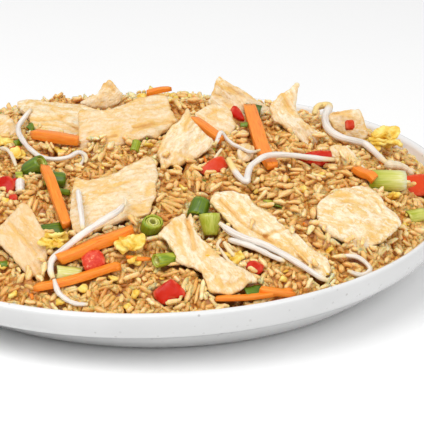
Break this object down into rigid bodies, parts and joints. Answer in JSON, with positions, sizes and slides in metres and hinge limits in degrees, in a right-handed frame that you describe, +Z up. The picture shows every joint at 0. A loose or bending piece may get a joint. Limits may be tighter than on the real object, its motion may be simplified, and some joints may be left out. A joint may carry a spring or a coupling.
{
  "type": "fried rice plate",
  "caption": "Round deep-rimmed ceramic plate heaped with fried rice, with chicken slices, carrot strips, bean sprouts, red pepper, spring onion and egg on top.",
  "frame": {"origin": "on the table, under the middle of the plate", "axes": "+Z up; -Y towards the diner, the side the food is seen from; +X to the diner's right"},
  "size_m": [0.2844, 0.2844, 0.0767],
  "materials": {
    "plate": "glossy off-white glaze with fine grey specks",
    "rice": "fried long-grain rice, golden tan with browned grains and a light sheen of oil",
    "chicken": "cooked chicken, cream with amber fried patches and fine fibres",
    "carrot": "cooked carrot, bright orange, moist",
    "sprout": "bean sprout, translucent white, moist",
    "pepper": "red pepper, shiny skin",
    "spring_onion": "spring onion, dark green to lime with pale layers",
    "egg": "scrambled egg, bright yellow, soft"
  },
  "bodies": {
    "root": {"bean_sprout_back_ring": "sprout", "bean_sprout_front_long": "sprout", "bean_sprout_front_root": "sprout", "bean_sprout_left_upright": "sprout", "bean_sprout_middle_bend": "sprout", "bean_sprout_middle_curl": "sprout", "bean_sprout_right_loop": "sprout", "bean_sprout_right_thick": "sprout", "bean_sprout_right_thin": "sprout", "carrot_back_broad": "carrot", "carrot_back_left": "carrot", "carrot_front_long": "carrot", "carrot_front_low": "carrot", "carrot_front_rim": "carrot", "carrot_left": "carrot", "carrot_left_side": "carrot", "carrot_middle": "carrot", "carrot_rear": "carrot", "carrot_right": "carrot", "chicken_back_left": "chicken", "chicken_back_long": "chicken", "chicken_back_peak": "chicken", "chicken_back_right_flat": "chicken", "chicken_back_right_peak": "chicken", "chicken_far_right": "chicken", "chicken_front_fold": "chicken", "chicken_front_left": "chicken", "chicken_front_long": "chicken", "chicken_left_flat": "chicken", "chicken_left_long": "chicken", "chicken_middle_fold": "chicken", "chicken_middle_large": "chicken", "chicken_rear_flat": "chicken", "chicken_rear_long": "chicken", "chicken_rear_right": "chicken", "chicken_right_curl": "chicken", "chicken_right_oval": "chicken", "chicken_right_shred": "chicken", "egg_front_left": "egg", "egg_front_middle": "egg", "egg_right": "egg", "plate": "plate", "red_pepper_back": "pepper", "red_pepper_far_right": "pepper", "red_pepper_front_diamond": "pepper", "red_pepper_front_left": "pepper", "red_pepper_front_right": "pepper", "red_pepper_left": "pepper", "red_pepper_middle": "pepper", "red_pepper_rear": "pepper", "red_pepper_right_long": "pepper", "rice_heap": "rice", "spring_onion_front_tube": "spring_onion", "spring_onion_left_dark": "spring_onion", "spring_onion_left_short": "spring_onion", "spring_onion_middle_bulb": "spring_onion", "spring_onion_middle_dark": "spring_onion", "spring_onion_middle_ring": "spring_onion", "spring_onion_rear": "spring_onion", "spring_onion_right_stem": "spring_onion"}
  },
  "joints": []
}
